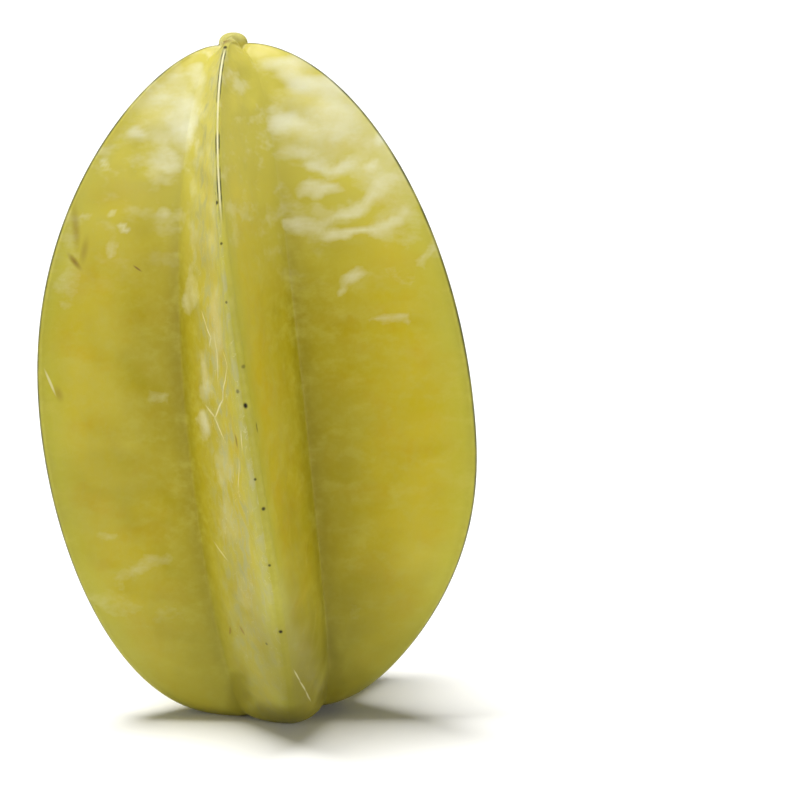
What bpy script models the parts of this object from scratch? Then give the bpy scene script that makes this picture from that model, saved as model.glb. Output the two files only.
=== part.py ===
"""Star fruit (carambola), whole, standing on the lower ends of its ribs.

Blender 4.5, metres, +Z up. The fruit is one solid: five ribs round a slightly bent axis, with a
stem cavity underneath and the nub of the flower's style on top. The woody stub of the stem is a
second solid that sits in a plain socket in the cavity.

The skin is a stack of rings from the socket's bottom to the top of the nub. A ring takes two points
from side profiles, one on the rib's crest and one in the valley, and a section curve joins them.
Azimuths are in degrees from -Y (the front) towards +X (the right).
"""

import math
from collections import namedtuple

import bmesh
import bpy
import numpy as np

MM = 0.001

# Lowest curve of the feet to the top of the nub, before the feet are flattened.
FRUIT_HEIGHT = 109.6 * MM
FOOT_FLAT = 0.5 * MM  # height of flesh that is pressed flat under each foot

# The axis leans left and bows left: sideways offset at the base, at the top, and extra at mid height.
AXIS_BASE = 4.3 * MM
AXIS_TOP = -3.4 * MM
AXIS_BOW = -2.4 * MM

# A side profile: the distance from the axis at the widest point, that point's height, the upper
# end's radius and height, and the lower end's. Upper and lower are a superellipse's exponents at
# those ends: 2 is an ellipse, less is more pointed, more is squarer. At the widest point it is 2.
# The neck is the height at which the profile meets the nub.
Profile = namedtuple("Profile", "reach wide tip_r tip_z neck upper foot_r foot_z lower")

# A rib: its azimuths, the half thickness of its edge at each of STATIONS, its crest's profile, and
# the height of the lower end of the valley that follows it. A station is a turn: -1 is the foot, 0
# the widest point and 1 the upper end.
Rib = namedtuple("Rib", "name azimuth_base azimuth_top edges crest notch")
STATIONS = (-1.0, -0.55, 0.0, 0.6, 0.93, 1.0)

RIBS = (
    Rib("left", -72, -73,
        np.array((2.0, 1.3, 0.9, 0.6, 0.5, 0.8)) * MM,
        Profile(34.0 * MM, 49 * MM, 2.6 * MM, 107.6 * MM, 107.8 * MM, 1.67, 9.0 * MM, 0.0, 2.2),
        1.0 * MM),
    Rib("front", 6, -5.8,
        np.array((2.2, 1.5, 1.1, 0.5, 0.45, 1.3)) * MM,
        Profile(36.0 * MM, 47 * MM, 3.6 * MM, 108.6 * MM, 109.2 * MM, 1.87, 9.0 * MM, 0.0, 1.8),
        2.4 * MM),
    Rib("right", 72, 71,
        np.array((2.0, 1.3, 0.9, 0.6, 0.5, 0.8)) * MM,
        Profile(38.2 * MM, 49 * MM, 2.8 * MM, 108.0 * MM, 107.8 * MM, 1.87, 9.0 * MM, 2.0 * MM, 1.5),
        3.0 * MM),
    Rib("back_right", 142, 143,
        np.array((2.1, 1.4, 1.0, 0.6, 0.5, 0.8)) * MM,
        Profile(35.5 * MM, 48 * MM, 3.0 * MM, 107.4 * MM, 107.8 * MM, 1.85, 11.0 * MM, 0.0, 2.0),
        2.6 * MM),
    Rib("back_left", 216, 214,
        np.array((2.1, 1.4, 1.0, 0.7, 0.5, 0.8)) * MM,
        Profile(36.5 * MM, 50 * MM, 2.8 * MM, 107.0 * MM, 107.8 * MM, 1.85, 11.0 * MM, 0.0, 2.0),
        2.0 * MM),
)
VALLEY = Profile(16.0 * MM, 45 * MM, 3.0 * MM, 106.8 * MM, 107.8 * MM, 2.1, 9.0 * MM, 2.4 * MM, 2.7)

# Section of a rib, from its crest to the valley.
EDGE_LIMIT = 0.37  # half thickness of an edge, at most, as a share of its distance from the axis
EDGE_ROUNDNESS = 0.95  # how deep the edge's rounding is, as a share of its half thickness
OPENINGS = (68, 38, 14, 12, 12, 12)  # degrees from a rib's plane to its flank at the edge, by station
CREST_HANDLE = 0.42  # share of the flank that stays straight below the edge
VALLEY_HANDLE = 0.07  # softness of the valley, as a share of its radius
LATE_RISE = 1.8  # power that keeps the skin low near the crest on its way up to the valley's height
ROUND_BELOW = 1.35  # a ring turns into a circle as crest radius over valley radius falls from this to 1

# Stem cavity, with the calyx's seat and the stem's socket.
CAVITY_R = 4.6 * MM
CAVITY_Z = 8.0 * MM
SOCKET_R = 2.5 * MM
SOCKET_MOUTH_Z = 8.4 * MM
SOCKET_TOP_Z = 10.8 * MM

# The style's nub, on top.
NUB_R = 2.3 * MM
NUB_FULLNESS = 2.2  # a superellipse's exponent: 2 is round, more is squarer

# Stem stub with the dried calyx. Its root stands in the socket and its broken end hangs in the cavity.
FIT_GAP = 0.3 * MM
STUB_ROOT_R = SOCKET_R - FIT_GAP
STUB_NECK_R = 1.8 * MM
STUB_NECK_Z = 6.2 * MM
STUB_END_R = 2.0 * MM
STUB_END_Z = 3.2 * MM
STUB_BEVEL = 0.4 * MM
CALYX_R = 4.0 * MM
CALYX_NOTCH_R = 2.9 * MM
CALYX_TOP_Z = SOCKET_MOUTH_Z - 2 * FIT_GAP
CALYX_THICKNESS = 0.8 * MM
CALYX_LOBES = 5

# Mesh density.
EDGE_STEPS = 3
FLANK_STEPS = 8
NECK_STEPS = 2
NUB_STEPS = 4
UPPER_STEPS = 16
LOWER_STEPS = 13
CAVITY_STEPS = 5
STUB_STEPS = 30
MERGE = 0.02 * MM  # corners nearer than this to each other, or to the floor, are made one


def material(name, colour, roughness):
    """A Principled material of one colour."""
    made = bpy.data.materials.new(name)
    made.use_nodes = True
    shader = made.node_tree.nodes["Principled BSDF"]
    shader.inputs["Base Color"].default_value = (*colour, 1)
    shader.inputs["Roughness"].default_value = roughness
    return made


def profile_point(profile, turn):
    """Radius and height on a side profile. turn is 0 at the widest point, 1 at the upper end and 2 at
    the nub; -1 is the foot and -2 the rim of the calyx's seat."""
    if turn > 1:
        bend = (turn - 1) * math.pi / 2
        radius = profile.tip_r + (NUB_R - profile.tip_r) * math.sin(bend)
        return radius, profile.tip_z + (profile.neck - profile.tip_z) * (1 - math.cos(bend))
    if turn < -1:
        bend = (-1 - turn) * math.pi / 2
        radius = profile.foot_r + (CAVITY_R - profile.foot_r) * math.sin(bend)
        return radius, profile.foot_z + (CAVITY_Z - profile.foot_z) * (1 - math.cos(bend))
    bend = abs(turn) * math.pi / 2
    end_r, end_z, fullness = (
        (profile.tip_r, profile.tip_z, profile.upper)
        if turn >= 0
        else (profile.foot_r, profile.foot_z, profile.lower)
    )
    power = 2 / (2 + (fullness - 2) * math.sin(bend))
    radius = end_r + (profile.reach - end_r) * max(math.cos(bend), 0) ** power
    return radius, profile.wide + (end_z - profile.wide) * math.sin(bend) ** power


def axis_x(z):
    """Sideways place of the fruit's axis at a height: a lean plus a parabola's bow."""
    rise = z / FRUIT_HEIGHT
    return AXIS_BASE + (AXIS_TOP - AXIS_BASE) * rise + AXIS_BOW * 4 * rise * (1 - rise)


def azimuth(rib, z):
    """A crest's azimuth at a height. It turns fastest near the top."""
    left_over = math.sin((1 - z / FRUIT_HEIGHT) * math.pi / 2)
    return math.radians(rib.azimuth_top + (rib.azimuth_base - rib.azimuth_top) * left_over)


def at_station(values, turn):
    """A value at a turn, eased by a cosine between the values at STATIONS."""
    place = np.interp(turn, STATIONS, range(len(STATIONS)))
    first = min(int(place), len(STATIONS) - 2)
    eased = 0.5 - 0.5 * math.cos((place - first) * math.pi)
    return values[first] + (values[first + 1] - values[first]) * eased


def bezier(a, b, c, d, steps):
    """Points of a cubic Bezier after its first one."""
    t = np.linspace(0, 1, steps + 1)[1:, None]
    return a * (1 - t) ** 3 + b * 3 * t * (1 - t) ** 2 + c * 3 * t * t * (1 - t) + d * t**3


def half_section(crest_r, valley_r, half_angle, edge, opening):
    """One side of a rib's section, from crest to valley: an array of (outward, sideways, share of the
    way from the crest's height to the valley's). The edge is an ellipse's arc. The flank, a Bezier,
    carries it on at the opening's angle and runs smoothly through the valley."""
    valley = np.array([math.cos(half_angle), math.sin(half_angle)]) * valley_r
    drop = crest_r - valley[0]
    half_edge = min(edge, EDGE_LIMIT * crest_r)
    depth = min(EDGE_ROUNDNESS * half_edge, 0.4 * drop)
    bend = np.linspace(0, math.atan2(half_edge, depth * math.tan(opening)), EDGE_STEPS + 1)
    blunt = np.stack([crest_r - depth * (1 - np.cos(bend)), half_edge * np.sin(bend)], 1)
    leave = CREST_HANDLE * drop * np.array([-math.cos(opening), math.sin(opening)])
    arrive = VALLEY_HANDLE * valley_r * np.array([math.sin(half_angle), -math.cos(half_angle)])
    flank = bezier(blunt[-1], blunt[-1] + leave, valley + arrive, valley, FLANK_STEPS)
    star = np.concatenate([blunt, flank])
    way = np.linspace(0, 1, len(star))
    ring = np.stack([np.cos(way * half_angle), np.sin(way * half_angle)], 1)
    ring *= (crest_r + (valley_r - crest_r) * way)[:, None]
    sharp = min(max((crest_r / valley_r - 1) / (ROUND_BELOW - 1), 0), 1)
    sharp = sharp * sharp * (3 - 2 * sharp)
    flat = star * sharp + ring * (1 - sharp)
    share = (crest_r - star[:, 0]) / max(drop, 1e-9) * sharp + way * (1 - sharp)
    return np.column_stack([flat, share ** LATE_RISE])


def ring_points(turn):
    """The closed ring of skin points at one turn, rib after rib, from valley over crest to valley."""
    points = []
    opening = math.radians(at_station(OPENINGS, turn))
    for index, rib in enumerate(RIBS):
        crest_r, crest_z = profile_point(rib.crest, turn)
        edge = at_station(rib.edges, turn)
        here = azimuth(rib, crest_z)
        before = azimuth(RIBS[index - 1], crest_z) - (math.tau if index == 0 else 0)
        after = azimuth(RIBS[(index + 1) % len(RIBS)], crest_z)
        after += math.tau if index == len(RIBS) - 1 else 0
        left_r, left_z = profile_point(VALLEY._replace(foot_z=RIBS[index - 1].notch), turn)
        right_r, right_z = profile_point(VALLEY._replace(foot_z=rib.notch), turn)
        left = half_section(crest_r, left_r, (here - before) / 2, edge, opening)[::-1]
        right = half_section(crest_r, right_r, (after - here) / 2, edge, opening)[1:-1]
        left[:, 1] *= -1
        left[:, 2] *= left_z - crest_z
        right[:, 2] *= right_z - crest_z
        out = np.array([math.sin(here), -math.cos(here)])
        across = np.array([math.cos(here), math.sin(here)])
        for outward, sideways, rise in np.concatenate([left, right]):
            z = crest_z + rise
            x, y = out * outward + across * sideways
            points.append((axis_x(z) + x, y, z))
    return points


def round_ring(like, radius, z):
    """A ring with as many points as another, round the axis at that height."""
    x0 = axis_x(z)
    angles = [math.atan2(y, x - axis_x(zz)) for x, y, zz in like]
    return [(x0 + radius * math.cos(a), radius * math.sin(a), z) for a in angles]


def nub_rings(neck):
    """The style's nub above the neck's ring: a squarish dome, without its top point."""
    top = np.array((axis_x(FRUIT_HEIGHT), 0, FRUIT_HEIGHT))
    rings = []
    for step in range(1, NUB_STEPS):
        bend = step / NUB_STEPS * math.pi / 2
        inward = 1 - math.cos(bend) ** (2 / NUB_FULLNESS)
        upward = math.sin(bend) ** (2 / NUB_FULLNESS)
        rings.append(np.array(neck) + (top - neck) * (inward, inward, upward))
    return rings


def skin_rings():
    """Every ring of the skin, from the bottom of the stem's socket to the top of the nub."""
    turns = np.concatenate([
        np.linspace(-2, -1, CAVITY_STEPS + 1),
        np.linspace(-1, 0, LOWER_STEPS + 1)[1:],
        np.linspace(0, 1, UPPER_STEPS + 1)[1:],
        np.linspace(1, 2, NECK_STEPS + 1)[1:],
    ])
    rings = [ring_points(turn) for turn in turns]
    socket = [
        round_ring(rings[0], SOCKET_R, SOCKET_TOP_Z),
        round_ring(rings[0], SOCKET_R, SOCKET_MOUTH_Z),
    ]
    return socket + rings + nub_rings(rings[-1])


def close_end(bm, ring, pole):
    """Closes a ring with a fan of triangles to a point."""
    middle = bm.verts.new(pole)
    for index, corner in enumerate(ring):
        bm.faces.new((corner, ring[(index + 1) % len(ring)], middle))


def lofted(rings, first_pole, last_pole):
    """A closed bmesh through rings of equal length, with both ends fanned to a point."""
    bm = bmesh.new()
    loops = [[bm.verts.new(point) for point in ring] for ring in rings]
    count = len(loops[0])
    for lower, upper in zip(loops, loops[1:]):
        for index in range(count):
            after = (index + 1) % count
            bm.faces.new((lower[index], lower[after], upper[after], upper[index]))
    close_end(bm, loops[0], first_pole)
    close_end(bm, loops[-1], last_pole)
    bmesh.ops.triangulate(bm, faces=bm.faces[:])
    bmesh.ops.recalc_face_normals(bm, faces=bm.faces[:])
    return bm


def flatten_feet(bm):
    """Cuts the lower ends of the ribs along the floor, which leaves a small flat spot on each foot."""
    bmesh.ops.bisect_plane(
        bm,
        geom=bm.verts[:] + bm.edges[:] + bm.faces[:],
        dist=MERGE,
        plane_co=(0, 0, FOOT_FLAT),
        plane_no=(0, 0, 1),
        clear_inner=True,
    )
    for vertex in bm.verts:
        if vertex.co.z < FOOT_FLAT + MERGE:
            vertex.co.z = FOOT_FLAT
    bmesh.ops.remove_doubles(bm, verts=bm.verts[:], dist=MERGE)
    bmesh.ops.holes_fill(bm, edges=[edge for edge in bm.edges if edge.is_boundary])


def add_object(name, bm, skin):
    """Makes a smooth-shaded object of a bmesh, lowered so that the feet's flat spots are at z = 0."""
    bmesh.ops.translate(bm, verts=bm.verts[:], vec=(0, 0, -FOOT_FLAT))
    mesh = bpy.data.meshes.new(name)
    bm.to_mesh(mesh)
    bm.free()
    mesh.shade_smooth()
    mesh.materials.append(skin)
    made = bpy.data.objects.new(name, mesh)
    bpy.context.scene.collection.objects.link(made)
    return made


def fruit_body():
    socket_top = (axis_x(SOCKET_TOP_Z), 0, SOCKET_TOP_Z)
    nub_top = (axis_x(FRUIT_HEIGHT), 0, FRUIT_HEIGHT)
    bm = lofted(skin_rings(), socket_top, nub_top)
    flatten_feet(bm)
    return add_object("fruit_body", bm, material("waxy_skin", (0.55, 0.5, 0.06), 0.35))


def stub_ring(radius, z, notch=None):
    """A ring round the stem's own axis. With a notch radius it has a rounded lobe for each sepal."""
    points = []
    for angle in np.linspace(0, math.tau, STUB_STEPS, endpoint=False):
        lobe = 0.5 + 0.5 * math.cos(CALYX_LOBES * angle)
        reach = radius if notch is None else notch + (radius - notch) * lobe
        across, forward = math.sin(angle), math.cos(angle)
        points.append((axis_x(SOCKET_MOUTH_Z) + reach * across, -reach * forward, z))
    return points


def stem_stub():
    """The woody stub, from its broken lower end up through the calyx to its root in the socket."""
    root_top = SOCKET_TOP_Z - FIT_GAP
    rings = [
        stub_ring(STUB_END_R - STUB_BEVEL, STUB_END_Z),
        stub_ring(STUB_END_R, STUB_END_Z + STUB_BEVEL),
        stub_ring(STUB_NECK_R, STUB_NECK_Z),
        stub_ring(STUB_ROOT_R, CALYX_TOP_Z - CALYX_THICKNESS),
        stub_ring(CALYX_R, CALYX_TOP_Z - CALYX_THICKNESS / 2, CALYX_NOTCH_R),
        stub_ring(CALYX_R, CALYX_TOP_Z, CALYX_NOTCH_R),
        stub_ring(STUB_ROOT_R, CALYX_TOP_Z + FIT_GAP / 2),
        stub_ring(STUB_ROOT_R, root_top - STUB_BEVEL),
        stub_ring(STUB_ROOT_R - STUB_BEVEL, root_top),
    ]
    x0 = axis_x(SOCKET_MOUTH_Z)
    bm = lofted(rings, (x0, 0, STUB_END_Z), (x0, 0, root_top))
    return add_object("stem_stub", bm, material("dry_stem", (0.16, 0.09, 0.04), 0.8))


def centre_on_box(objects):
    """Moves the fruit so that the middle of its box stands on the origin."""
    corners = np.array([tuple(vertex.co) for made in objects for vertex in made.data.vertices])
    middle = (corners.min(0) + corners.max(0)) / 2
    for made in objects:
        for vertex in made.data.vertices:
            vertex.co.x -= middle[0]
            vertex.co.y -= middle[1]


def main():
    for old in list(bpy.data.objects):
        bpy.data.objects.remove(old)
    centre_on_box([fruit_body(), stem_stub()])


main()
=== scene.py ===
import math
import bpy
import numpy as np
from mathutils.bvhtree import BVHTree
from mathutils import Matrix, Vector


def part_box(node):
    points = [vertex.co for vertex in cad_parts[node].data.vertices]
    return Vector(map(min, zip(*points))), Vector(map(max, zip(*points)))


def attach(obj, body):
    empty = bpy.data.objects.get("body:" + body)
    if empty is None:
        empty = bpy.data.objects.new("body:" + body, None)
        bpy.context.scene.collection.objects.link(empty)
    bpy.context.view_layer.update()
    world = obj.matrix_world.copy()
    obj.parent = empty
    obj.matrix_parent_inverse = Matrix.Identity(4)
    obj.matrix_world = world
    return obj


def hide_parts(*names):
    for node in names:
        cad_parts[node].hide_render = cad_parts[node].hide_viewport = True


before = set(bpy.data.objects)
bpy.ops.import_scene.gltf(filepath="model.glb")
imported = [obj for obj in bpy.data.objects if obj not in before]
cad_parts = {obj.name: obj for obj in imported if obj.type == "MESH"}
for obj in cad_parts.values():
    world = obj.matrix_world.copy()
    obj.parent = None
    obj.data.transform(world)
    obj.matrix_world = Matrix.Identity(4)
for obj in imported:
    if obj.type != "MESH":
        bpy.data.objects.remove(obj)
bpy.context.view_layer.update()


def linearColour(hexText):
    # sRGB hex to linear: a straight toe below 0.04, a power of 2.4 above it
    values = [int(hexText[i:i + 2], 16) / 255 for i in (1, 3, 5)]
    return [v / 12.92 if v <= 0.04045 else ((v + 0.055) / 1.055) ** 2.4 for v in values] + [1]


def addNode(tree, kind, inputs=None, **settings):
    # a node with its settings; an input takes a value or another node's output
    node = tree.nodes.new(kind)
    for name, value in settings.items():
        setattr(node, name, value)
    for name, value in (inputs or {}).items():
        if isinstance(value, bpy.types.NodeSocket):
            tree.links.new(value, node.inputs[name])
        else:
            node.inputs[name].default_value = value
    return node


# Lengths in mm, azimuths in degrees from the front towards the right.
# A turn is a place along a side profile: -2 is the stem cavity's rim, -1 the foot, 0 the widest point,
# 1 the upper end and 2 the nub. The stations are turns, and the openings the flanks' angles at them.
# A profile is the reach at the widest point, that point's height, the upper end's radius and height,
# the height at the nub, the upper fullness, the lower end's radius and height, and the lower fullness.
# A rib has its azimuth at the base and at the top, the half thickness of its edge at the stations, the
# crest's profile, and the notch, which is the lower end's height of the valley after it. Streaks are
# how strongly its left and right flanks are streaked, edgeLine is how dark the line along its edge is,
# and paleLine how strongly the edge's upper part gets a painted highlight, a cream line between dark
# ones.
fruit = {
    "height": 109.6,
    "footFlat": 0.5,
    "axisBase": 4.3,
    "axisTop": -3.4,
    "axisBow": -2.4,
    "stations": (-1.0, -0.55, 0.0, 0.6, 0.93, 1.0),
    "openings": (68, 38, 14, 12, 12, 12),
    "ribs": {
        "left": {
            "azimuth": (-72, -73), "edges": (2.0, 1.3, 0.9, 0.6, 0.5, 0.8), "notch": 1.0,
            "crest": (34.0, 49, 2.6, 107.6, 107.8, 1.67, 9.0, 0.0, 2.2),
            "streaks": (0.25, 0.1), "edgeLine": 1.0, "paleLine": 0.0},
        "front": {
            "azimuth": (6, -5.8), "edges": (2.2, 1.5, 1.1, 0.5, 0.45, 1.3), "notch": 2.4,
            "crest": (36.0, 47, 3.6, 108.6, 109.2, 1.87, 9.0, 0.0, 1.8),
            "streaks": (1.0, 0.15), "edgeLine": 0.1, "paleLine": 1.0},
        "right": {
            "azimuth": (72, 71), "edges": (2.0, 1.3, 0.9, 0.6, 0.5, 0.8), "notch": 3.0,
            "crest": (38.2, 49, 2.8, 108.0, 107.8, 1.87, 9.0, 2.0, 1.5),
            "streaks": (0.05, 0.4), "edgeLine": 1.0, "paleLine": 0.0},
        "backRight": {
            "azimuth": (142, 143), "edges": (2.1, 1.4, 1.0, 0.6, 0.5, 0.8), "notch": 2.6,
            "crest": (35.5, 48, 3.0, 107.4, 107.8, 1.85, 11.0, 0.0, 2.0),
            "streaks": (0.5, 0.2), "edgeLine": 0.7, "paleLine": 0.5},
        "backLeft": {
            "azimuth": (216, 214), "edges": (2.1, 1.4, 1.0, 0.7, 0.5, 0.8), "notch": 2.0,
            "crest": (36.5, 50, 2.8, 107.0, 107.8, 1.85, 11.0, 0.0, 2.0),
            "streaks": (0.2, 0.6), "edgeLine": 0.8, "paleLine": 0.3},
    },
    "valley": (16.0, 45, 3.0, 106.8, 107.8, 2.1, 9.0),  # a profile's values up to the lower end's radius
    "valleyLower": 2.7,  # its lower fullness; the height between them is a rib's notch
    "edgeLimit": 0.37,  # an edge's half thickness, at most, as a share of its distance from the axis
    "edgeRoundness": 0.95,  # how deep the edge's rounding is, as a share of its half thickness
    "edgeDepthLimit": 0.4,  # and at most, as a share of the way from crest to valley
    "crestHandle": 0.42,  # share of the flank that stays straight below the edge
    "valleyHandle": 0.07,  # softness of the valley, as a share of its radius
    "lateRise": 1.8,  # power that keeps the skin low near the crest on its way to the valley's height
    "roundBelow": 1.35,  # crest over valley radius below which a section turns into a circle
    "cavity": (4.6, 8.0),  # radius and height of the stem cavity's inner rim
    "socketRadius": 2.5,
    "socketMouth": 8.4,
    "socketTop": 10.8,
    "nubRadius": 2.3,
    "nubFullness": 2.2,
    "edgeSteps": 7,
    "flankSteps": 35,
    "rows": {-2: 20, -1: 90, 0: 98, 1: 6},  # steps from each whole turn to the next
    "nubSteps": 8,
    # waves in the skin: depth, shortest and longest wave, how many, how much longer they are along
    # x, y and z, and the seed
    "dents": {"depth": 0.12, "lengths": (6.0, 14.0), "count": 14, "stretch": (2.2, 2.2, 1.0), "seed": 4},
    "rucks": {"depth": 0.02, "lengths": (2.4, 5.0), "count": 16, "stretch": (1.4, 1.4, 1.0), "seed": 9},
    # where the waves are gone and where they are full: in mm from the crest, as a share of the way from
    # crest to valley, and as a turn either way
    "calmCrest": (0.2, 7),
    "calmValley": (1.0, 0.75),
    "calmEnds": (0.99, 0.86),
    # the same for the streaks
    "streakCrest": (-1.0, 0.4),
    "streakValley": (0.95, 0.5),
    # the stored values at nub and socket
    "plain": {"fromCrest": 20.0, "flankShare": 0.1, "streaks": 0.0, "edgeLine": 0.0, "paleLine": 0.0},
}
tiny = 1e-6  # keeps divisions away from zero
waveBend = 0.9  # how far each wave in the skin is bent by the one before it, in radians


def column(values):
    # a column of values, one for each row
    return np.asarray(values)[:, None]


def smoothStep(values, low, high):
    # the cubic 3t^2 - 2t^3 between two limits
    t = np.clip((values - low) / (high - low), 0, 1)
    return t * t * (3 - 2 * t)


def profilePoints(profile, turn):
    # radius and height on a side profile: a superellipse's quarter above and below the widest point,
    # whose power eases from an ellipse's there to the given one at the ends, then an ellipse's quarter
    # in to the nub on top and one into the stem cavity below
    reach, wide, tipRadius, tipHeight, neck, upper, footRadius, footHeight, lower = profile
    up = turn >= 0
    bend = np.clip(np.abs(turn), 0, 1) * math.pi / 2
    endRadius = np.where(up, tipRadius, footRadius)
    endHeight = np.where(up, tipHeight, footHeight)
    power = 2 / (2 + (np.where(up, upper, lower) - 2) * np.sin(bend))
    radius = endRadius + (reach - endRadius) * np.clip(np.cos(bend), 0, 1) ** power
    height = wide + (endHeight - wide) * np.sin(bend) ** power
    inner = np.clip(np.abs(turn) - 1, 0, 1) * math.pi / 2
    innerRadius = np.where(up, fruit["nubRadius"], fruit["cavity"][0])
    innerHeight = np.where(up, neck, fruit["cavity"][1])
    past = np.abs(turn) > 1
    radius = np.where(past, endRadius + (innerRadius - endRadius) * np.sin(inner), radius)
    height = np.where(past, endHeight + (innerHeight - endHeight) * (1 - np.cos(inner)), height)
    return radius, height


def axisPlace(height):
    # sideways place of the fruit's axis: a lean plus a parabola's bow
    rise = height / fruit["height"]
    return (fruit["axisBase"] + (fruit["axisTop"] - fruit["axisBase"]) * rise
            + fruit["axisBow"] * 4 * rise * (1 - rise))


def ribAzimuth(rib, height):
    # a crest's azimuth in radians: the base's weight is the sine of what is left of the height
    base, top = rib["azimuth"]
    return np.radians(top + (base - top) * np.sin((1 - height / fruit["height"]) * math.pi / 2))


def atStation(values, turn):
    # a value at each turn, eased by a cosine between the values at the stations
    stations = fruit["stations"]
    place = np.interp(turn, stations, range(len(stations)))
    first = np.minimum(place.astype(int), len(stations) - 2)
    eased = 0.5 - 0.5 * np.cos((place - first) * math.pi)
    values = np.array(values)
    return values[first] + (values[first + 1] - values[first]) * eased


def bezier(first, second, third, last, steps):
    # a cubic Bezier on every row, without its first point: the four points weighted by the terms of
    # ((1 - t) + t)^3
    t = np.linspace(0, 1, steps + 1)[None, 1:]
    a, b, c, d = column(first), column(second), column(third), column(last)
    return a * (1 - t) ** 3 + b * 3 * t * (1 - t) ** 2 + c * 3 * t * t * (1 - t) + d * t ** 3


def halfSection(crest, valley, halfAngle, edge, opening):
    # one side of a rib's section on every row, crest to valley: an ellipse's arc round the edge, up to
    # the point where it has turned to the opening's angle, then a cubic Bezier that arrives square to
    # the valley's own direction. Where the crest is hardly higher than the valley it blends into a
    # circle. Gives outward, sideways and the share of the way down, each rows by steps.
    valleyOut, valleySide = valley * np.cos(halfAngle), valley * np.sin(halfAngle)
    drop = crest - valleyOut
    half = np.minimum(edge, fruit["edgeLimit"] * crest)
    depth = np.minimum(fruit["edgeRoundness"] * half, fruit["edgeDepthLimit"] * drop)
    bend = column(np.arctan2(half, depth * np.tan(opening))) * np.linspace(0, 1, fruit["edgeSteps"] + 1)
    bluntOut = column(crest) - column(depth) * (1 - np.cos(bend))
    bluntSide = column(half) * np.sin(bend)

    leave, arrive = fruit["crestHandle"] * drop, fruit["valleyHandle"] * valley
    startOut, startSide = bluntOut[:, -1], bluntSide[:, -1]
    flankOut = bezier(startOut, startOut - leave * np.cos(opening),
                      valleyOut + arrive * np.sin(halfAngle), valleyOut, fruit["flankSteps"])
    flankSide = bezier(startSide, startSide + leave * np.sin(opening),
                       valleySide - arrive * np.cos(halfAngle), valleySide, fruit["flankSteps"])
    out = np.concatenate([bluntOut, flankOut], 1)
    side = np.concatenate([bluntSide, flankSide], 1)

    way = np.linspace(0, 1, out.shape[1])[None, :]
    ring = column(crest) + column(valley - crest) * way
    angle = way * column(halfAngle)
    sharp = column(smoothStep(crest / valley, 1, fruit["roundBelow"]))
    share = (column(crest) - out) / np.maximum(column(drop), tiny)
    return (out * sharp + ring * np.cos(angle) * (1 - sharp),
            side * sharp + ring * np.sin(angle) * (1 - sharp),
            share * sharp + way * (1 - sharp))


def waveSum(points, seed, lengths, count, stretch):
    # a sum of sine waves in space with seeded directions, lengths and phases, each bent by the one
    # before it. stretch makes the waves longer along x, y and z. The sum's spread is about 1.
    draw = np.random.default_rng(seed)
    total = np.zeros(points.shape[:-1])
    bent = 0
    for _ in range(count):
        direction = draw.normal(size=3) / np.array(stretch)
        direction /= np.linalg.norm(direction)
        length = draw.uniform(*lengths)
        wave = np.sin(points @ direction * math.tau / length + draw.uniform(0, math.tau)
                      + waveBend * bent)
        total += wave
        bent = wave
    return total / math.sqrt(count / 2)


def gridNormals(points):
    # unit normals of a grid that is closed along its second axis: the cross product of its two ways
    along = np.gradient(points, axis=0)
    around = np.roll(points, -1, 1) - np.roll(points, 1, 1)
    normal = np.cross(around, along)
    return normal / np.maximum(np.linalg.norm(normal, axis=2, keepdims=True), tiny)


def valleyAfter(rib):
    # the profile of the valley after a rib, with that rib's notch as its lower end's height
    return fruit["valley"] + (rib["notch"], fruit["valleyLower"])


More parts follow.
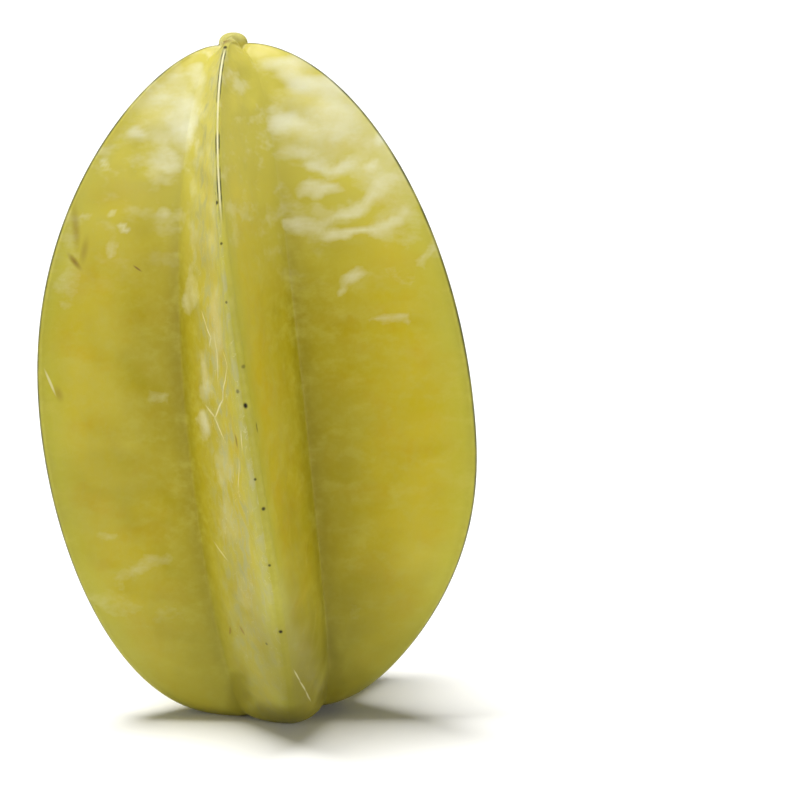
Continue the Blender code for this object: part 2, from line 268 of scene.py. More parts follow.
def fruitSurface():
    # rows run from the stem cavity's rim to the nub, columns once round the ribs. Each half rib is its
    # section, turned to the crest's azimuth about the bowed axis; its height goes from the crest's to
    # the valley's by a power of the share of the way. Gives the grid, the values that the material
    # reads, on the same grid, and the rows' turns.
    turn = np.concatenate([[-2.0]] + [np.linspace(start, start + 1, steps + 1)[1:]
                                      for start, steps in fruit["rows"].items()])
    ribs = list(fruit["ribs"].values())
    opening = np.radians(atStation(fruit["openings"], turn))
    parts = {name: [] for name in ("points", "fromCrest", "flankShare", "streaks", "edgeLine", "paleLine")}
    for previous, rib, following in zip(ribs[-1:] + ribs, ribs, ribs[1:] + ribs[:1]):
        crestRadius, crestHeight = profilePoints(rib["crest"], turn)
        here = ribAzimuth(rib, crestHeight)
        before = ribAzimuth(previous, crestHeight) - (math.tau if rib is ribs[0] else 0)
        after = ribAzimuth(following, crestHeight) + (math.tau if rib is ribs[-1] else 0)
        edge = atStation(rib["edges"], turn)
        sine, cosine = column(np.sin(here)), column(np.cos(here))
        sides = ((-1, previous, (here - before) / 2, rib["streaks"][0]),
                 (1, rib, (after - here) / 2, rib["streaks"][1]))
        for sign, valleyRib, halfAngle, streaks in sides:
            valleyRadius, valleyHeight = profilePoints(valleyAfter(valleyRib), turn)
            out, side, share = halfSection(crestRadius, valleyRadius, halfAngle, edge, opening)
            height = column(crestHeight) + column(valleyHeight - crestHeight) * share ** fruit["lateRise"]
            grid = np.stack([axisPlace(height) + out * sine + sign * side * cosine,
                             -out * cosine + sign * side * sine, height], 2)
            steps = np.linalg.norm(np.diff(grid, axis=1), axis=2)
            fromCrest = np.concatenate([np.zeros((len(turn), 1)), np.cumsum(steps, 1)], 1)
            streaks = (streaks * smoothStep(fromCrest, *fruit["streakCrest"])
                       * smoothStep(share, *fruit["streakValley"]))
            # the left half runs valley to crest, the right half crest to valley, seams left out
            order = slice(None, 0, -1) if sign < 0 else slice(0, -1)
            values = {"points": grid, "fromCrest": fromCrest, "flankShare": share, "streaks": streaks,
                      "edgeLine": np.full(share.shape, rib["edgeLine"]),
                      "paleLine": np.full(share.shape, rib["paleLine"])}
            for name, value in values.items():
                parts[name].append(value[:, order])
    joined = {name: np.concatenate(values, 1) for name, values in parts.items()}
    return joined.pop("points"), joined, turn


def closedGridFaces(rows, columns, firstPole, lastPole):
    # quads between the rows, wrapped round, and a fan of triangles at each end
    index = np.arange(rows * columns).reshape(rows, columns)
    right = np.roll(index, -1, 1)
    quads = np.stack([index[:-1], right[:-1], right[1:], index[1:]], 2).reshape(-1, 4)
    bottom = np.stack([right[0], index[0], np.full(columns, firstPole)], 1)
    top = np.stack([index[-1], right[-1], np.full(columns, lastPole)], 1)
    return quads.tolist() + bottom.tolist() + top.tolist()


def dentedSkin(points, fields, turn):
    # the skin moves along its normals by slow dents and finer rucks, times smooth steps that fade them
    # out at crest, valley and both ends
    calm = smoothStep(fields["fromCrest"], *fruit["calmCrest"])
    calm = calm * smoothStep(fields["flankShare"], *fruit["calmValley"])
    calm = calm * column(smoothStep(np.abs(turn), *fruit["calmEnds"]))
    shift = sum(waves["depth"] * waveSum(points, waves["seed"], waves["lengths"], waves["count"],
                                         waves["stretch"])
                for waves in (fruit["dents"], fruit["rucks"]))
    return points + gridNormals(points) * (calm * shift)[..., None]


def endRings(rim, neck):
    # the stem's socket below, two round rings at the azimuths of the cavity's rim, and the style's nub
    # above, a superellipse's quarter over the neck's ring. Gives both as stacks of rings, and the poles.
    angle = np.arctan2(rim[:, 1], rim[:, 0] - axisPlace(rim[:, 2]))
    socket = np.stack([np.stack([axisPlace(height) + fruit["socketRadius"] * np.cos(angle),
                                 fruit["socketRadius"] * np.sin(angle), np.full(len(rim), height)], 1)
                       for height in (fruit["socketTop"], fruit["socketMouth"])])
    nubTop = np.array((axisPlace(fruit["height"]), 0, fruit["height"]))
    bend = np.linspace(0, math.pi / 2, fruit["nubSteps"] + 1)[1:-1, None, None]
    power = 2 / fruit["nubFullness"]
    inward, upward = 1 - np.cos(bend) ** power, np.sin(bend) ** power
    nub = neck + (nubTop - neck) * np.concatenate([inward, inward, upward], 2)
    return socket, nub, np.array([[axisPlace(fruit["socketTop"]), 0, fruit["socketTop"]], nubTop])


# Patches on the side that faces the front. The pale ones are painted highlights and reflections,
# partly over natural wax that lies thicker; the shades are painted shade, darker in places, mostly
# low down and in the valleys. A pale patch is its place across and up in mm, its half width and half
# height, its turn in degrees seen from the front, and its strength. It lies on the skin. A shade may
# lie off it, so its place is across, back and up.
patches = {
    "margin": 0.3,  # mm that every patch is wider and higher, either way
    "depth": 5,  # mm in which a patch fades by as much as over its half width
    "fade": (2.4, -0.4),  # sum of squares at which a patch is gone, and at which it would be full
    "wander": {"depth": 0.45, "lengths": (5.0, 11.0), "count": 8, "stretch": (1, 1, 1), "seeds": (21, 22)},
    "frontward": (0.0, 0.25),  # how far the skin has to face the front: gone and full
    "highlightBlooms": (
        # the right rib's flank, downwards
        (4.5, 104.6, 3.5, 1.4, 0, 0.8), (7.7, 101.3, 2.7, 1.3, -10, 1),
        (11.2, 100.7, 2.1, 1.4, 20, 0.9), (4.5, 95.2, 2.1, 1.1, 0, 1), (11.6, 95.5, 4.1, 2.2, 10, 0.55),
        (14, 97.6, 2.2, 1.3, -20, 0.5), (5.7, 91, 2.7, 0.8, 5, 0.45), (14, 89.2, 2.4, 0.6, 22, 0.8),
        (9.3, 89.2, 1.3, 0.5, 0, 0.6), (9.8, 85.3, 2.6, 0.7, 8, 0.8), (7.6, 79.8, 3.2, 1.1, -8, 0.7),
        (14.8, 78, 4.1, 0.6, 2, 0.8), (20.4, 80, 2.7, 0.6, 33, 0.6), (15.1, 82.2, 3.5, 0.6, 33, 0.75),
        (19.8, 85.6, 2.4, 1, 45, 0.5), (18.7, 92.7, 0.5, 0.6, 0, 0.9), (18.7, 88.7, 0.6, 0.6, 0, 0.7),
        (15.1, 71.8, 1.9, 0.6, 25, 0.65), (13, 69.5, 0.6, 0.5, 20, 0.5),
        (21.5, 65.2, 2.2, 0.6, -8, 0.6), (27, 75.7, 0.6, 2.9, 0, 0.4), (22.6, 71.8, 2.2, 1.3, 0, 0.25),
        # the left rib's upper flank
        (-11.2, 96, 1.6, 3.4, 0, 0.9), (-13.7, 89.4, 1.8, 0.8, -15, 0.6),
        (-19, 93.2, 1.1, 0.6, -10, 0.9), (-15.1, 93.1, 1.3, 1, 0, 0.35),
        (-16.3, 98.3, 2.1, 1.1, 20, 0.4), (-12.6, 101.8, 1.3, 1.3, 30, 0.4),
        (-23.3, 88.4, 0.5, 1, 20, 0.7), (-21.1, 79.4, 0.6, 0.5, -40, 0.9),
        (-22.9, 81.6, 0.5, 0.5, 0, 0.7), (-26.6, 81.4, 0.8, 0.5, 0, 0.5), (-14.6, 81.7, 1, 0.6, 0, 0.4),
        (-22.4, 75.6, 0.6, 1.1, 30, 0.5), (-29.2, 72.4, 1.3, 6.3, -8, 0.35), (-9.5, 86, 0.8, 4, 0, 0.3),
        (-9.3, 76.5, 0.6, 4, 0, 0.3), (-10, 69.5, 0.8, 3.2, 0, 0.45), (-9.2, 102.7, 1.1, 1, 30, 0.5),
        # the front rib's left flank
        (-5.6, 66.8, 1.4, 7.1, -3, 0.5), (-6, 80.4, 1, 4.8, 0, 0.5), (-7.2, 56, 1, 3.2, -5, 0.5),
        (-8, 49.2, 0.8, 1.6, 0, 0.5), (-4.3, 44.1, 2.2, 3.2, -15, 0.55), (-4, 35.2, 1.6, 4, -10, 0.5),
        (-1.8, 24.5, 1.9, 5.1, -12, 0.3), (-0.5, 13.3, 2.2, 4.1, -20, 0.2),
        (-0.9, 83.7, 1, 2.2, 20, 0.3), (2.2, 77.1, 0.6, 2.2, 10, 0.2),
        # the left rib's lower flank, and one on the front rib's right
        (-20.2, 23.8, 2.6, 1.5, 10, 0.25), (-23.5, 19.8, 4.1, 1.9, -10, 0.3),
        (-14.7, 17.5, 3.2, 1.3, 0, 0.3), (-15.1, 52.2, 1.9, 1, -10, 0.3),
        (-16.2, 26.5, 2.5, 1, 20, 0.4), (-23.3, 30.4, 1.6, 0.8, 0, 0.3), (7.1, 16.4, 1.3, 1.9, 20, 0.2),
        # narrow ones within the front rib's, and wide faint ones at the top
        (-5.5, 66, 0.6, 4.5, 0, 0.5), (-7.6, 58, 0.5, 4, 0, 0.5), (-8.2, 50, 0.6, 1, 0, 0.5),
        (13, 97, 10, 9, 0, 0.5), (-13, 97, 8, 8, 0, 0.5), (22, 86, 6, 9, 0, 0.35),
        (15, 17.5, 1.6, 1.9, 0, 0.25),
    ),
    "shades": (
        # the front rib's flanks
        (6, -24, 10, 6, 13, 0, 0.45), (8.5, -17, 9, 2.6, 10, 0, 0.5), (5.5, -22, 32, 5, 9, 0, 0.22),
        (-2, -22, 22, 4, 11, 0, 0.19),
        # the right and the left rib's, and the valleys between them
        (19, -8.5, 15, 8, 10, 0, 0.22), (-25, -7.5, 37, 7, 9, 0, 0.22), (9, -9, 38, 6, 14, 0, 0.19),
        (-14, -8, 55, 6, 9, 0, 0.13), (11.8, -7.5, 4, 1.3, 11, 4, 0.55), (14, -6.5, 3, 5, 5, 0, 0.4),
        (-3.5, -9.5, 5, 1.3, 8, -12, 0.45), (2, -14, 1, 9, 2.4, 0, 0.7),
    ),
}


def skinDepth(surface, across, height):
    # the skin's y in mm at a place seen from the front: where a level ray first meets it
    return surface.ray_cast((across, -fruit["height"], height), (0, 1, 0))[0].y


def patchField(points, rows):
    # the patches at each point, laid over each other as 1 - (1 - a)(1 - b)...: a patch is strongest in
    # its middle and fades by a smooth step of u^2 + v^2 + w^2, which are the distances across, up and
    # in depth as shares of its size. Slow waves shift the points first, so that outlines are uneven.
    wander = patches["wander"]
    shiftAcross, shiftUp = (wander["depth"] * waveSum(points, seed, wander["lengths"], wander["count"],
                                                      wander["stretch"]) for seed in wander["seeds"])
    bare = np.ones(len(points))
    for x, y, z, halfWidth, halfHeight, tilt, strength in rows:
        across, up = points[:, 0] + shiftAcross - x, points[:, 2] + shiftUp - z
        cosine, sine = math.cos(math.radians(tilt)), math.sin(math.radians(tilt))
        u = (across * cosine + up * sine) / (halfWidth + patches["margin"])
        v = (up * cosine - across * sine) / (halfHeight + patches["margin"])
        w = (points[:, 1] - y) / patches["depth"]
        bare *= 1 - strength * smoothStep(u * u + v * v + w * w, *patches["fade"])
    return 1 - bare


def fittedToSolid(points):
    # the foot is cut flat, and the finer surface takes the place and, to a hair, the size of the solid
    # that it stands for, so it is never larger
    points[:, 2] = np.maximum(points[:, 2] - fruit["footFlat"], 0)
    low, high = (np.array(corner) * 1000 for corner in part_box("fruit_body"))
    ownLow, ownHigh = points.min(0), points.max(0)
    scale = np.minimum((high - low) / (ownHigh - ownLow), 1.0)
    middle, target = (ownLow + ownHigh) / 2, (low + high) / 2
    points[:, :2] = (points[:, :2] - middle[:2]) * scale[:2] + target[:2]
    points[:, 2] *= scale[2]
    print("fruit skin scaled by", scale.round(4), "and moved by", (target - middle).round(3), "mm")
    return points


def buildFruit():
    # socket, skin and nub as one stack of rings between two poles
    skin, fields, turn = fruitSurface()
    skin = dentedSkin(skin, fields, turn)
    socket, nub, poles = endRings(skin[0], skin[-1])
    grid = np.concatenate([socket, skin, nub], 0)
    rows, columns = grid.shape[:2]
    points = fittedToSolid(np.concatenate([grid.reshape(-1, 3), poles], 0))
    faces = closedGridFaces(rows, columns, rows * columns, rows * columns + 1)
    surface = BVHTree.FromPolygons(points.tolist(), faces)
    mesh = bpy.data.meshes.new("fruitSkin")
    mesh.from_pydata((points / 1000).tolist(), [], faces)
    mesh.shade_smooth()
    mesh.materials.append(waxySkin(surface))

    # what the material reads at each point; of the two poles, only the nub's shows from the front
    frontward = smoothStep(-gridNormals(grid)[..., 1].ravel(), *patches["frontward"])
    frontward = np.append(frontward, [0.0, 1.0])
    # painted highlight and painted shade, only where the skin faces the front
    highlightBlooms = [(x, skinDepth(surface, x, z), z, *rest) for x, z, *rest in patches["highlightBlooms"]]
    stored = {"bloomAndHighlight": patchField(points, highlightBlooms) * frontward,
              "shade": patchField(points, patches["shades"]) * frontward}
    for name, field in fields.items():
        plain = fruit["plain"][name]
        field = np.pad(field, ((len(socket), len(nub)), (0, 0)), constant_values=plain)
        stored[name] = np.append(field.ravel(), [plain, plain])
    for name, values in stored.items():
        attribute = mesh.attributes.new(name, "FLOAT", "POINT")
        attribute.data.foreach_set("value", values.astype(np.float32))
    mesh.update()

    piece = bpy.data.objects.new("fruitSkin", mesh)
    bpy.context.scene.collection.objects.link(piece)
    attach(piece, "root")
    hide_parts("fruit_body")
    print("fruit skin:", len(points), "points,", len(faces), "faces")


def emptyMaterial(name):
    # a new material without any node, and its tree
    material = bpy.data.materials.new(name)
    material.use_nodes = True
    material.node_tree.nodes.clear()
    return material, material.node_tree


# Colours are sRGB. A noise is the size of its grain in mm, how much closer it lies upwards, its detail,
# roughness and distortion. A fade or a ramp is what it goes by, where it begins and ends there, and its
# strength at both. It goes by a noise, a value stored on the skin, the height in mm, or one of the
# material's own two, offLevel and raggedHighlight. Layers are laid over the yellow in the order given.
skinLook = {
    "colours": {
        "yellow": "#b7a51b",
        "warm": "#b89b12",
        "pale": "#bab148",
        # painted light: lighter towards the top
        "bright": "#cdc35c",
        "green": "#a8a93c",
        # the next five are painted shade: darker low down, down the flanks, in the valleys, in the shades
        # and along the crests
        "olive": "#959038",
        "deep": "#9a8d08",
        "valley": "#7c700a",
        "shadeDark": "#6c6209",
        "crest": "#938d33",
        # partly painted sheen on the streaks
        "streak": "#a8a468",
        # painted highlights and sheen, partly natural wax
        "bloomAndHighlight": "#e2e1c4",
        "nub": "#b9b36a",
        "line": "#4c4e2a",
        # a painted highlight along the upper edges
        "highlightCream": "#ded8a8",
        "dot": "#211905",
        "scratch": "#7a5a2a",
        "scar": "#d9d2a0",
    },
    "stored": ("fromCrest", "flankShare", "streaks", "edgeLine", "paleLine", "bloomAndHighlight", "shade"),
    "noises": {
        "mottle": (15, 1, 3, 0.5, 0),
        "warmth": (9, 1.6, 3, 0.55, 0),
        "haze": (6, 1.6, 3, 0.6, 0),
        "wear": (3.846, 1, 2, 0.5, 0),
        "fleck": (3.8, 1.6, 4, 0.6, 0),
        "pores": (2.381, 1, 2, 0.5, 0),  # real ones are 0.1 mm apart, too fine to show, so drawn coarser
        "streak": (1.6, 0.6, 2, 0.5, 0.5),
        "speckle": (1.1, 1, 2, 0.5, 0),
    },
    "hairLevel": 0.52,  # hairlines run where the streaks' noise crosses this level
    # the wax patches here are the pale ones, mostly painted highlight
    "raggedness": 0.7,  # how far the flecks break up the edges of the wax patches
    "fades": {
        # slow mottle of the flesh's ripeness and greener towards the edges; painted shade down the
        # flanks, in the valleys and along the crests, greener painted shade low down, and painted light
        # towards the top
        "cloudy": ("mottle", 0.42, 0.68, 0, 0.4),
        "warmed": ("warmth", 0.48, 0.66, 0, 0.4),
        "nearEdge": ("flankShare", 0.3, 0, 0, 0.6),
        "shadedDownFlank": ("flankShare", 0.3, 0.95, 0, 0.7),
        "shadedValley": ("flankShare", 0.86, 1, 0, 0.45),
        "shadedCrest": ("fromCrest", 2.6, 0.4, 0, 0.4),
        "shadedLowEnd": ("height", 34, 6, 0, 0.62),
        "litTopEnd": ("height", 62, 100, 0, 0.75),
        "onNub": ("height", 107.2, 108.2, 0, 0.7),
        # soft pale flecks everywhere, grey streaks in blotches whose paleness is partly painted sheen
        # on fine wrinkles, hairlines among them, and a thin painted sheen towards the top
        "flecked": ("fleck", 0.48, 0.72, 0, 0.4),
        "streaking": ("streak", 0.42, 0.66, 0.3, 0.9),
        "blotchy": ("wear", 0.38, 0.6, 0.5, 1.1),
        "hairline": ("offLevel", 0.009, 0, 0, 0.3),
        "sheenHazing": ("haze", 0.48, 0.7, 0, 0.5),
        # the lines along a rib's edge
        "lineWidth": ("fromCrest", 0.72, 0.2, 0, 1),
        "rimWidth": ("fromCrest", 0.5, 0.28, 0, 1),
        "coreWidth": ("fromCrest", 0.2, 0.06, 0, 1),
        "upperEdge": ("height", 81, 86, 0, 1),
    },
    "ramps": {
        "speckled": ("speckle", 0.4, 0.65, 0, 0.16),
        "worn": ("wear", 0.35, 0.6, 0.6, 0.95),
        "broken": ("wear", 0.42, 0.58, 0.25, 0.9),
        "offFoot": ("height", 2, 18, 0.25, 1),
        "offNub": ("height", 107.2, 106.2, 0, 1),
        "waxHighlighting": ("raggedHighlight", 0.18, 1, 0, 0.8),
        "offStreaks": ("streaks", 0, 1, 1, 0.4),
    },
    "products": {
        "streaked": ("streaking", "blotchy", "streaks"),
        "haired": ("hairline", "streaks"),
        "ridges": ("streak", "streaks"),
        # the edge is a thin olive line, worn away here and there
        "edged": ("lineWidth", "worn", "edgeLine", "offFoot"),
        # on the upper part of some edges a painted highlight, a cream line, runs between two
        # broken dark ones
        "upper": ("upperEdge", "paleLine", "offNub"),
        "rimmed": ("rimWidth", "upper", "broken"),
        "crestHighlight": ("coreWidth", "upper", "worn"),
        # the pale patches, painted highlight partly over natural wax, and a thin painted sheen at the
        # top, both less where there are streaks
        "waxAndHighlight": ("waxHighlighting", "offStreaks"),
        "hazedSheen": ("sheenHazing", "litTopEnd", "offStreaks"),
    },
    "layers": (
        ("cloudy", "pale"), ("warmed", "warm"), ("nearEdge", "green"), ("shadedDownFlank", "deep"),
        ("shadedValley", "valley"), ("shadedCrest", "crest"), ("litTopEnd", "bright"), ("flecked", "pale"),
        ("speckled", "pale"), ("streaked", "streak"), ("haired", "scar"), ("hazedSheen", "bloomAndHighlight"),
        ("waxAndHighlight", "bloomAndHighlight"), ("shadedLowEnd", "olive"), ("shade", "shadeDark"), ("onNub", "nub"), ("edged", "line"),
        ("rimmed", "line"), ("crestHighlight", "highlightCream"), ("scars", "scar"), ("smudges", "scratch"),
        ("scratches", "scratch"), ("dots", "dot"),
    ),
    # Small marks on the skin: place across and up in mm, half width, half height, turn in degrees seen
    # from outside, the azimuth that the skin faces there, and the strength. Depth is how deep they go
    # in mm, and a mark is full within the first multiple of its size and gone beyond the second.
    "marks": {
        "dots": {"depth": 0.6, "fade": (0.5, 1.8), "rows": (
            (-5.4, 86.2, 0.2, 0.2, 0, -30, 0.6), (-5.2, 84.9, 0.32, 0.26, 0, -30, 1),
            (-4.4, 79, 0.2, 0.18, 0, -30, 0.8), (-3.6, 70.4, 0.2, 0.18, 0, -30, 0.7),
            (-1, 60.9, 0.24, 0.24, 0, -10, 0.5), (-1.9, 57.2, 0.26, 0.26, 0, -20, 0.6),
            (-0.7, 55.1, 0.24, 0.36, 15, -10, 1), (0.9, 51.5, 0.22, 0.6, 5, 35, 0.6),
            (0.7, 43.9, 0.18, 0.18, 0, 0, 0.8), (1.9, 39.3, 0.24, 0.24, 0, 0, 0.9),
            (2.7, 30.3, 0.18, 0.18, 0, -10, 0.8), (4.2, 19.1, 0.24, 0.24, 0, -10, 1),
            (1.9, 16.5, 0.24, 0.18, 0, -40, 0.6), (-4.7, 107.2, 0.26, 0.24, 0, 0, 0.9))},
        "scratches": {"depth": 0.8, "fade": (0.5, 1.5), "rows": (
            (-2.3, 49, 0.45, 1, 0, -67, 0.6), (-4.2, 16.3, 0.3, 0.9, -40, -62, 0.6),
            (-2.1, 17.3, 0.3, 0.8, 50, -62, 0.6), (-18.6, 72.8, 0.14, 0.7, 55, 0, 0.8))},
        "smudges": {"depth": 1.5, "fade": (0.0, 1.9), "rows": (
            (-28.3, 79, 0.5, 2.8, 5, -9, 0.4), (-28.5, 73.8, 0.35, 1.2, 40, -9, 0.75),
            (-27, 75.5, 0.5, 1.8, -10, -9, 0.35), (-4.9, 107.9, 0.8, 0.8, 0, -20, 0.7),
            (-31.2, 53, 0.5, 1.0, 20, -9, 0.35))},
        "scars": {"depth": 1.0, "fade": (0.5, 1.4), "rows": (
            (-32.5, 54.8, 0.18, 2, 22, -9, 0.7), (-7.6, 66.4, 0.2, 1.4, 44, -67, 0.8),
            (-6.9, 64.7, 0.2, 1.4, 49, -67, 0.8), (-6.6, 63.1, 0.2, 1.2, -38, -67, 0.6),
            (-5.4, 61.2, 0.2, 4.3, 0, -67, 0.5), (-3.9, 61.2, 0.2, 1.4, 25, -67, 0.6),
            (-4.2, 57.4, 0.2, 3.6, -31, -67, 0.7), (-5.3, 53, 0.2, 3.1, -51, -67, 0.8),
            (-6.7, 51.9, 0.2, 2, 70, -67, 0.6), (-5.3, 49.8, 0.2, 2.2, 42, -67, 0.7),
            (-1.4, 49.5, 0.2, 1.7, -20, -67, 1), (-2, 44, 0.2, 2.8, -11, -67, 0.5),
            (-5.5, 29.5, 0.2, 2.8, 70, -67, 0.5), (6.5, 10.5, 0.14, 2.1, 52, 63, 0.7),
            (7.3, 8.2, 0.14, 2.1, 52, 63, 0.7), (8, 5.9, 0.14, 2.1, 52, 63, 0.7))},
    },
    "roughness": 0.42,
    "ior": 1.35,
    "specular": 0.3,
    "translucency": 0.2,
    "lightSpreadMm": (2.0, 1.6, 0.5),  # how far red, green and blue light travel in the flesh
    "bumps": (("pores", 0.25, 0.05), ("ridges", 0.5, 0.1)),  # what they go by, strength, depth in mm
}


def markMask(tree, place, surface, marks):
    # the strongest of the marks: each is an ellipsoid, whose strength fades with the distance from its
    # middle as a multiple of its size
    full, gone = marks["fade"]
    mask = 0.0
    for x, z, halfWidth, halfHeight, tilt, facing, strength in marks["rows"]:
        y = skinDepth(surface, x, z)
        local = addNode(tree, "ShaderNodeMapping", {
            "Vector": place, "Location": (x / 1000, y / 1000, z / 1000),
            "Rotation": (0, math.radians(-tilt), math.radians(facing)),
            "Scale": (halfWidth / 1000, marks["depth"] / 1000, halfHeight / 1000)},
            vector_type="TEXTURE").outputs["Vector"]
        far = addNode(tree, "ShaderNodeVectorMath", {0: local}, operation="LENGTH").outputs["Value"]
        inside = addNode(tree, "ShaderNodeMapRange", {
            "Value": far, "From Min": gone, "From Max": full, "To Max": strength},
            interpolation_type="SMOOTHSTEP").outputs["Result"]
        mask = addNode(tree, "ShaderNodeMath", {0: inside, 1: mask}, operation="MAXIMUM").outputs[0]
    return mask


def waxySkin(surface):
    # carambola skin: a thin smooth cuticle with a natural wax over translucent flesh, so the colour
    # comes from a few mm down and soft reflections lie on top of it; its colour also holds painted
    # shade and painted highlights
    material, tree = emptyMaterial("waxyCarambolaSkin")
    look = skinLook
    place = addNode(tree, "ShaderNodeTexCoord").outputs["Object"]
    metres = addNode(tree, "ShaderNodeSeparateXYZ", {"Vector": place}).outputs["Z"]
    height = addNode(tree, "ShaderNodeMath", {0: metres, 1: 1000}, operation="MULTIPLY").outputs[0]
    value = {"height": height}
    for name in look["stored"]:
        value[name] = addNode(tree, "ShaderNodeAttribute", attribute_name=name).outputs["Fac"]
    for name, (grainMm, closer, detail, roughness, distortion) in look["noises"].items():
        space = addNode(tree, "ShaderNodeMapping", {"Vector": place, "Scale": (1, 1, closer)})
        value[name] = addNode(tree, "ShaderNodeTexNoise", {
            "Vector": space.outputs["Vector"], "Scale": 1000 / grainMm, "Detail": detail,
            "Roughness": roughness, "Distortion": distortion}).outputs["Fac"]

    # the streaks' distance from the hairlines' level, and the pale patches' painted highlight +
    # raggedness * (fleck - 1/2)
    off = addNode(tree, "ShaderNodeMath", {0: value["streak"], 1: look["hairLevel"]}, operation="SUBTRACT")
    off = addNode(tree, "ShaderNodeMath", {0: off.outputs[0]}, operation="ABSOLUTE")
    value["offLevel"] = off.outputs[0]
    ragged = addNode(tree, "ShaderNodeMath", {0: value["fleck"], 1: look["raggedness"],
                     2: -look["raggedness"] / 2}, operation="MULTIPLY_ADD")
    ragged = addNode(tree, "ShaderNodeMath", {0: value["bloomAndHighlight"], 1: ragged.outputs[0]}, operation="ADD")
    value["raggedHighlight"] = ragged.outputs[0]

    for curve, table in (("SMOOTHSTEP", look["fades"]), ("LINEAR", look["ramps"])):
        for name, (source, start, end, low, high) in table.items():
            value[name] = addNode(tree, "ShaderNodeMapRange", {
                "Value": value[source], "From Min": start, "From Max": end, "To Min": low,
                "To Max": high}, interpolation_type=curve).outputs["Result"]
    for name, (first, *others) in look["products"].items():
        value[name] = value[first]
        for other in others:
            value[name] = addNode(tree, "ShaderNodeMath", {0: value[name], 1: value[other]},
                                  operation="MULTIPLY").outputs[0]
    for name, marks in look["marks"].items():
        value[name] = markMask(tree, place, surface, marks)

    colour = linearColour(look["colours"]["yellow"])
    for factor, name in look["layers"]:
        over = linearColour(look["colours"][name])
        colour = addNode(tree, "ShaderNodeMix", {"Factor": value[factor], 6: colour, 7: over},
                         data_type="RGBA").outputs[2]
    normal = {}
    for source, strength, depthMm in look["bumps"]:
        bump = addNode(tree, "ShaderNodeBump", {"Height": value[source], "Strength": strength,
                       "Distance": depthMm / 1000, **normal})
        normal = {"Normal": bump.outputs["Normal"]}
    shader = addNode(tree, "ShaderNodeBsdfPrincipled", {
        "Base Color": colour, "Roughness": look["roughness"], "IOR": look["ior"],
        "Specular IOR Level": look["specular"], "Subsurface Weight": look["translucency"],
        "Subsurface Radius": look["lightSpreadMm"], "Subsurface Scale": 1 / 1000, **normal})
    addNode(tree, "ShaderNodeOutputMaterial", {"Surface": shader.outputs["BSDF"]})
    return material


# layers are a colour and the grain's values at which it begins and is full
stemLook = {
    "base": "#6b5130",
    "layers": (("#3b2a17", 0.5, 0.3), ("#8f7748", 0.52, 0.75)),
    "grainMm": 1.1,
    "detail": 6,
    "roughness": 0.8,
    "bumpStrength": 0.6,
    "bumpMm": 0.3,
}


def dryStemWood():
    # dried fruit stalk and calyx: corky brown wood, so it is matt, with a broken grain
    material, tree = emptyMaterial("dryStemWood")
    look = stemLook
    place = addNode(tree, "ShaderNodeTexCoord").outputs["Object"]
    grain = addNode(tree, "ShaderNodeTexNoise", {"Vector": place, "Scale": 1000 / look["grainMm"],
                    "Detail": look["detail"]}).outputs["Fac"]
    colour = linearColour(look["base"])
    for hexText, start, end in look["layers"]:
        share = addNode(tree, "ShaderNodeMapRange", {"Value": grain, "From Min": start,
                        "From Max": end}).outputs["Result"]
        colour = addNode(tree, "ShaderNodeMix", {"Factor": share, 6: colour, 7: linearColour(hexText)},
                         data_type="RGBA").outputs[2]
    bump = addNode(tree, "ShaderNodeBump", {"Height": grain, "Strength": look["bumpStrength"],
                   "Distance": look["bumpMm"] / 1000})
    shader = addNode(tree, "ShaderNodeBsdfPrincipled", {
        "Base Color": colour, "Roughness": look["roughness"], "Normal": bump.outputs["Normal"]})
    addNode(tree, "ShaderNodeOutputMaterial", {"Surface": shader.outputs["BSDF"]})
    return material


buildFruit()
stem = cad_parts["stem_stub"]
stem.data.materials.clear()
stem.data.materials.append(dryStemWood())
print("fruit and stem dressed")

# Lengths in metres, angles in degrees. A softbox is its size, its watts, its azimuth from the front
# towards the right, its elevation and its distance, and it faces the fruit's middle.
studio = {
    "floorSize": 12.0,
    "floorColour": "#f4f4f2",
    "floorRoughness": 0.7,
    "floorSpecular": 0.2,
    "fibreMm": 1.111,  # real fibres are 0.03 mm thick, too fine to show, so drawn coarser
    "fibreDetail": 3,
    "fibreStrength": 0.1,
    "fibreBumpMm": 0.1,
    "worldStrength": 0.08,
    "sunStrength": 4.6,
    "sunAngle": 32,
    "sunTilt": (-5, -10),
    "softboxes": (
        {"name": "rightSoftbox", "size": (0.35, 0.3), "power": 1.25, "azimuth": 46, "elevation": 5,
         "distance": 0.6},
        {"name": "leftSoftbox", "size": (0.35, 0.3), "power": 1.05, "azimuth": -42, "elevation": 5,
         "distance": 0.6},
        {"name": "sideSoftbox", "size": (0.7, 0.7), "power": 0.4, "azimuth": -100, "elevation": 20,
         "distance": 0.9},
    ),
    "middle": 0.0508,  # height at which lights and camera aim
    "lens": 155,
    "sensor": 36,
    "clipStart": 0.01,
    "cameraDistance": 0.55,
    "cameraElevation": 9,
    "cameraAcross": 0.0225,
}


def sweepPaper():
    # matt white sweep paper: its fibres scatter the light, so it has no gloss and is faintly uneven
    material, tree = emptyMaterial("whiteSweepPaper")
    place = addNode(tree, "ShaderNodeTexCoord").outputs["Object"]
    fibre = addNode(tree, "ShaderNodeTexNoise", {"Vector": place, "Scale": 1000 / studio["fibreMm"],
                    "Detail": studio["fibreDetail"]}).outputs["Fac"]
    bump = addNode(tree, "ShaderNodeBump", {"Height": fibre, "Strength": studio["fibreStrength"],
                   "Distance": studio["fibreBumpMm"] / 1000})
    shader = addNode(tree, "ShaderNodeBsdfPrincipled", {
        "Base Color": linearColour(studio["floorColour"]), "Roughness": studio["floorRoughness"],
        "Specular IOR Level": studio["floorSpecular"], "Normal": bump.outputs["Normal"]})
    addNode(tree, "ShaderNodeOutputMaterial", {"Surface": shader.outputs["BSDF"]})
    return material


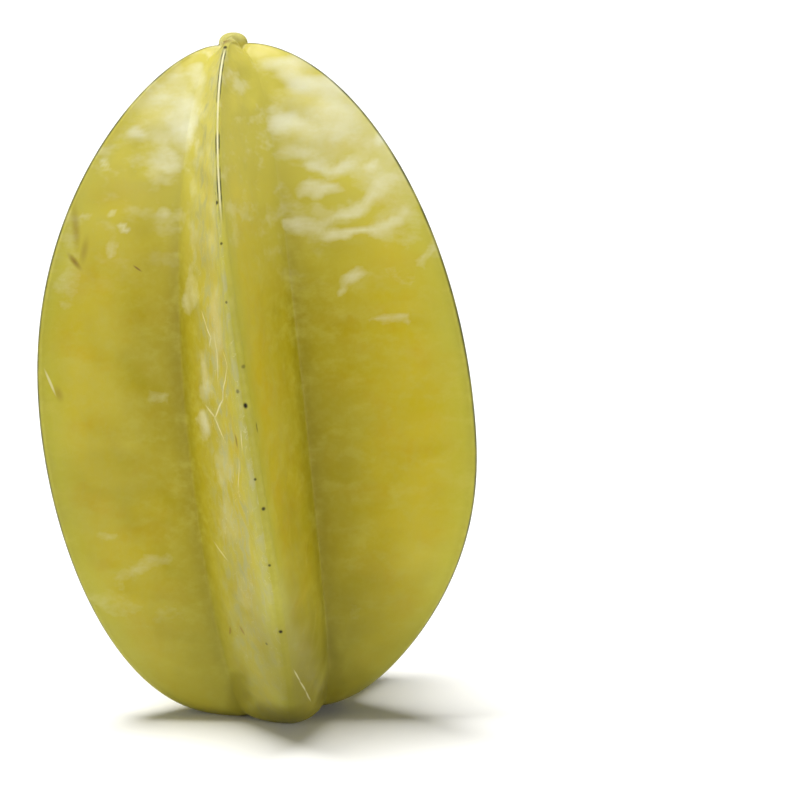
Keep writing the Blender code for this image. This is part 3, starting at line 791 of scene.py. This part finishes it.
def addAimed(name, data, azimuth, elevation, distance, across=0):
    # a lamp or camera aimed at the fruit's middle, or across metres beside it. From there it stands
    # (sin a cos e, -cos a cos e, sin e) times its distance away, for azimuth a and elevation e.
    thing = bpy.data.objects.new(name, data)
    turn, rise = math.radians(azimuth), math.radians(elevation)
    thing.location = (across + distance * math.sin(turn) * math.cos(rise),
                      -distance * math.cos(turn) * math.cos(rise),
                      studio["middle"] + distance * math.sin(rise))
    thing.rotation_euler = (math.radians(90) - rise, 0, turn)
    bpy.context.scene.collection.objects.link(thing)
    return thing


def buildStudio():
    half = studio["floorSize"] / 2
    mesh = bpy.data.meshes.new("floor")
    corners = [(-half, -half, 0), (half, -half, 0), (half, half, 0), (-half, half, 0)]
    mesh.from_pydata(corners, [], [(0, 1, 2, 3)])
    mesh.materials.append(sweepPaper())
    floor = bpy.data.objects.new("floor", mesh)
    bpy.context.scene.collection.objects.link(floor)

    world = bpy.data.worlds.new("whiteStudio")
    world.use_nodes = True
    background = world.node_tree.nodes["Background"]
    background.inputs["Color"].default_value = (1, 1, 1, 1)
    background.inputs["Strength"].default_value = studio["worldStrength"]
    bpy.context.scene.world = world

    sun = bpy.data.lights.new("overheadSoftbox", "SUN")
    sun.energy = studio["sunStrength"]
    sun.angle = math.radians(studio["sunAngle"])
    lamp = bpy.data.objects.new("overheadSoftbox", sun)
    lamp.rotation_euler = [math.radians(angle) for angle in studio["sunTilt"]] + [0]
    bpy.context.scene.collection.objects.link(lamp)

    for box in studio["softboxes"]:
        light = bpy.data.lights.new(box["name"], "AREA")
        light.shape = "RECTANGLE"
        light.size, light.size_y = box["size"]
        light.energy = box["power"]
        addAimed(box["name"], light, box["azimuth"], box["elevation"], box["distance"])

    lens = bpy.data.cameras.new("studioCamera")
    lens.lens = studio["lens"]
    lens.sensor_width = studio["sensor"]
    lens.clip_start = studio["clipStart"]
    camera = addAimed("studioCamera", lens, 0, studio["cameraElevation"], studio["cameraDistance"],
                      studio["cameraAcross"])
    bpy.context.scene.camera = camera
    bpy.context.scene.view_settings.view_transform = "Standard"


buildStudio()
print("studio ready")
